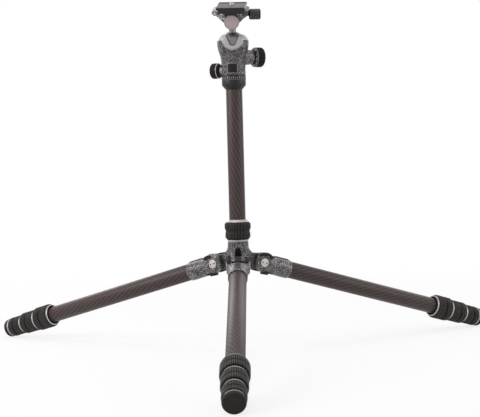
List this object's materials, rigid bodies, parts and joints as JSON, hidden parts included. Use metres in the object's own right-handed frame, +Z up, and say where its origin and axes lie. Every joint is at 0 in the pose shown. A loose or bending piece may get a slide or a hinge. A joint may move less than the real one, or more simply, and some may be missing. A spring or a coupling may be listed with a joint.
{
  "type": "travel tripod with ball head",
  "caption": "Low-set carbon travel tripod: telescoping twist-lock legs on a cast hub, a rising centre column and a ball head with a quick-release clamp.",
  "frame": {"origin": "on the floor, under the axis of the centre column", "axes": "+Z up the column, -Y along the front leg, +X to the right of the picture"},
  "size_m": [0.7966, 0.6929, 0.5209],
  "materials": {
    "carbon": "satin carbon fibre with a fine diagonal weave",
    "hammered_grey": "hammered dark grey paint with a light sparkle",
    "black_rubber": "matte ribbed rubber",
    "black_anodised": "satin black anodising",
    "black_plastic": "fine-grained matte",
    "bright_aluminium": "bead-blasted bright grey",
    "satin_steel": "turned satin steel",
    "nylon": "moulded nylon"
  },
  "bodies": {
    "hub": {"hub": "hammered_grey", "hinge_bolts": "satin_steel", "column_bushing": "nylon"},
    "column_lock": {"column_lock": "black_rubber"},
    "column": {"column_tube": "carbon", "column_top_plate": "black_anodised", "column_end_cap": "black_plastic", "head_base": "black_anodised"},
    "head": {"ball_housing": "hammered_grey", "ball_collar": "bright_aluminium", "ball_seat": "nylon"},
    "ball_lock_knob": {"ball_lock_knob": "black_rubber"},
    "pan_lock_knob": {"pan_lock_knob": "black_rubber"},
    "ball": {"ball": "satin_steel"},
    "clamp": {"clamp_base": "bright_aluminium", "clamp_end_cap": "bright_aluminium"},
    "clamp_jaw": {"clamp_jaw": "hammered_grey"},
    "clamp_knob": {"clamp_knob": "black_rubber"},
    "plate": {"quick_release_plate": "black_anodised"},
    "camera_screw": {"camera_screw": "satin_steel"},
    "front_leg": {"front_leg_casting": "hammered_grey", "front_leg_tube_1": "carbon", "front_leg_collet_1": "nylon"},
    "front_selector": {"front_leg_selector": "black_plastic"},
    "front_lock_1": {"front_leg_lock_1": "black_rubber"},
    "front_section_2": {"front_leg_tube_2": "carbon", "front_leg_collet_2": "nylon"},
    "front_lock_2": {"front_leg_lock_2": "black_rubber"},
    "front_section_3": {"front_leg_tube_3": "carbon", "front_leg_collet_3": "nylon"},
    "front_lock_3": {"front_leg_lock_3": "black_rubber"},
    "front_section_4": {"front_leg_tube_4": "carbon", "front_leg_foot": "black_rubber"},
    "right_leg": {"right_leg_casting": "hammered_grey", "right_leg_tube_1": "carbon", "right_leg_collet_1": "nylon"},
    "right_selector": {"right_leg_selector": "black_plastic"},
    "right_lock_1": {"right_leg_lock_1": "black_rubber"},
    "right_section_2": {"right_leg_tube_2": "carbon", "right_leg_collet_2": "nylon"},
    "right_lock_2": {"right_leg_lock_2": "black_rubber"},
    "right_section_3": {"right_leg_tube_3": "carbon", "right_leg_collet_3": "nylon"},
    "right_lock_3": {"right_leg_lock_3": "black_rubber"},
    "right_section_4": {"right_leg_tube_4": "carbon", "right_leg_foot": "black_rubber"},
    "left_leg": {"left_leg_casting": "hammered_grey", "left_leg_tube_1": "carbon", "left_leg_collet_1": "nylon"},
    "left_selector": {"left_leg_selector": "black_plastic"},
    "left_lock_1": {"left_leg_lock_1": "black_rubber"},
    "left_section_2": {"left_leg_tube_2": "carbon", "left_leg_collet_2": "nylon"},
    "left_lock_2": {"left_leg_lock_2": "black_rubber"},
    "left_section_3": {"left_leg_tube_3": "carbon", "left_leg_collet_3": "nylon"},
    "left_lock_3": {"left_leg_lock_3": "black_rubber"},
    "left_section_4": {"left_leg_tube_4": "carbon", "left_leg_foot": "black_rubber"}
  },
  "joints": [
    {"name": "column_lift", "type": "slide", "parent": "hub", "child": "column", "axis": [0, 0, 1], "range_m": [-0.191, 0]},
    {"name": "column_lock_twist", "type": "hinge", "parent": "hub", "child": "column_lock", "pos_m": [0, 0, 0.13281], "axis": [0, 0, 1], "range_deg": [0, 120]},
    {"name": "head_pan", "type": "hinge", "parent": "column", "child": "head", "pos_m": [0, 0, 0.45981], "axis": [0, 0, 1], "continuous": true},
    {"name": "ball_lock_turn", "type": "hinge", "parent": "head", "child": "ball_lock_knob", "pos_m": [0, 0, 0.43881], "axis": [0.891, 0.454, 0], "range_deg": [0, 360]},
    {"name": "pan_lock_turn", "type": "hinge", "parent": "head", "child": "pan_lock_knob", "pos_m": [0, 0, 0.41981], "axis": [-0.891, 0.454, 0], "range_deg": [0, 360]},
    {"name": "ball_tilt", "type": "hinge", "parent": "head", "child": "ball", "pos_m": [0, 0, 0.45981], "axis": [1, 0, 0], "range_deg": [-40, 74]},
    {"name": "clamp_spin", "type": "hinge", "parent": "ball", "child": "clamp", "pos_m": [0, 0, 0.45981], "axis": [0, -0.2756, 0.9613], "continuous": true},
    {"name": "clamp_jaw_slide", "type": "slide", "parent": "clamp", "child": "clamp_jaw", "axis": [0.9976, -0.0671, -0.0192], "range_m": [0, 0.0025]},
    {"name": "clamp_knob_turn", "type": "hinge", "parent": "clamp_jaw", "child": "clamp_knob", "pos_m": [0, -0.01158, 0.50019], "axis": [0.9976, -0.0671, -0.0192], "range_deg": [0, 900]},
    {"name": "plate_slide", "type": "slide", "parent": "clamp", "child": "plate", "axis": [0.0698, 0.9589, 0.275], "range_m": [-0.02, 0.02]},
    {"name": "camera_screw_turn", "type": "hinge", "parent": "plate", "child": "camera_screw", "pos_m": [0, -0.01544, 0.51364], "axis": [0, -0.2756, 0.9613], "continuous": true},
    {"name": "front_leg_hinge", "type": "hinge", "parent": "hub", "child": "front_leg", "pos_m": [0, -0.0352, 0.13281], "axis": [1, 0, 0], "range_deg": [0, 72]},
    {"name": "front_selector_slide", "type": "slide", "parent": "front_leg", "child": "front_selector", "axis": [0, -0.9613, -0.2756], "range_m": [0, 0.006], "stiffness_N_per_m": 300, "springref_m": -0.004},
    {"name": "front_lock_1_twist", "type": "hinge", "parent": "front_leg", "child": "front_lock_1", "pos_m": [0, -0.0352, 0.13281], "axis": [0, -0.9613, -0.2756], "range_deg": [0, 90]},
    {"name": "front_section_2_slide", "type": "slide", "parent": "front_leg", "child": "front_section_2", "axis": [0, -0.9613, -0.2756], "range_m": [0, 0.245]},
    {"name": "front_lock_2_twist", "type": "hinge", "parent": "front_section_2", "child": "front_lock_2", "pos_m": [0, -0.0352, 0.13281], "axis": [0, -0.9613, -0.2756], "range_deg": [0, 90]},
    {"name": "front_section_3_slide", "type": "slide", "parent": "front_section_2", "child": "front_section_3", "axis": [0, -0.9613, -0.2756], "range_m": [0, 0.245]},
    {"name": "front_lock_3_twist", "type": "hinge", "parent": "front_section_3", "child": "front_lock_3", "pos_m": [0, -0.0352, 0.13281], "axis": [0, -0.9613, -0.2756], "range_deg": [0, 90]},
    {"name": "front_section_4_slide", "type": "slide", "parent": "front_section_3", "child": "front_section_4", "axis": [0, -0.9613, -0.2756], "range_m": [0, 0.245]},
    {"name": "right_leg_hinge", "type": "hinge", "parent": "hub", "child": "right_leg", "pos_m": [0.03048, 0.0176, 0.13281], "axis": [-0.5, 0.866, 0], "range_deg": [0, 72]},
    {"name": "right_selector_slide", "type": "slide", "parent": "right_leg", "child": "right_selector", "axis": [0.8325, 0.4806, -0.2756], "range_m": [0, 0.006], "stiffness_N_per_m": 300, "springref_m": -0.004},
    {"name": "right_lock_1_twist", "type": "hinge", "parent": "right_leg", "child": "right_lock_1", "pos_m": [0.03048, 0.0176, 0.13281], "axis": [0.8325, 0.4806, -0.2756], "range_deg": [0, 90]},
    {"name": "right_section_2_slide", "type": "slide", "parent": "right_leg", "child": "right_section_2", "axis": [0.8325, 0.4806, -0.2756], "range_m": [0, 0.245]},
    {"name": "right_lock_2_twist", "type": "hinge", "parent": "right_section_2", "child": "right_lock_2", "pos_m": [0.03048, 0.0176, 0.13281], "axis": [0.8325, 0.4806, -0.2756], "range_deg": [0, 90]},
    {"name": "right_section_3_slide", "type": "slide", "parent": "right_section_2", "child": "right_section_3", "axis": [0.8325, 0.4806, -0.2756], "range_m": [0, 0.245]},
    {"name": "right_lock_3_twist", "type": "hinge", "parent": "right_section_3", "child": "right_lock_3", "pos_m": [0.03048, 0.0176, 0.13281], "axis": [0.8325, 0.4806, -0.2756], "range_deg": [0, 90]},
    {"name": "right_section_4_slide", "type": "slide", "parent": "right_section_3", "child": "right_section_4", "axis": [0.8325, 0.4806, -0.2756], "range_m": [0, 0.245]},
    {"name": "left_leg_hinge", "type": "hinge", "parent": "hub", "child": "left_leg", "pos_m": [-0.03048, 0.0176, 0.13281], "axis": [-0.5, -0.866, 0], "range_deg": [0, 72]},
    {"name": "left_selector_slide", "type": "slide", "parent": "left_leg", "child": "left_selector", "axis": [-0.8325, 0.4806, -0.2756], "range_m": [0, 0.006], "stiffness_N_per_m": 300, "springref_m": -0.004},
    {"name": "left_lock_1_twist", "type": "hinge", "parent": "left_leg", "child": "left_lock_1", "pos_m": [-0.03048, 0.0176, 0.13281], "axis": [-0.8325, 0.4806, -0.2756], "range_deg": [0, 90]},
    {"name": "left_section_2_slide", "type": "slide", "parent": "left_leg", "child": "left_section_2", "axis": [-0.8325, 0.4806, -0.2756], "range_m": [0, 0.245]},
    {"name": "left_lock_2_twist", "type": "hinge", "parent": "left_section_2", "child": "left_lock_2", "pos_m": [-0.03048, 0.0176, 0.13281], "axis": [-0.8325, 0.4806, -0.2756], "range_deg": [0, 90]},
    {"name": "left_section_3_slide", "type": "slide", "parent": "left_section_2", "child": "left_section_3", "axis": [-0.8325, 0.4806, -0.2756], "range_m": [0, 0.245]},
    {"name": "left_lock_3_twist", "type": "hinge", "parent": "left_section_3", "child": "left_lock_3", "pos_m": [-0.03048, 0.0176, 0.13281], "axis": [-0.8325, 0.4806, -0.2756], "range_deg": [0, 90]},
    {"name": "left_section_4_slide", "type": "slide", "parent": "left_section_3", "child": "left_section_4", "axis": [-0.8325, 0.4806, -0.2756], "range_m": [0, 0.245]}
  ],
  "couplings": [
    {"joint": "clamp_knob_turn", "follows": "clamp_jaw_slide", "rad_per_m": 6283}
  ]
}
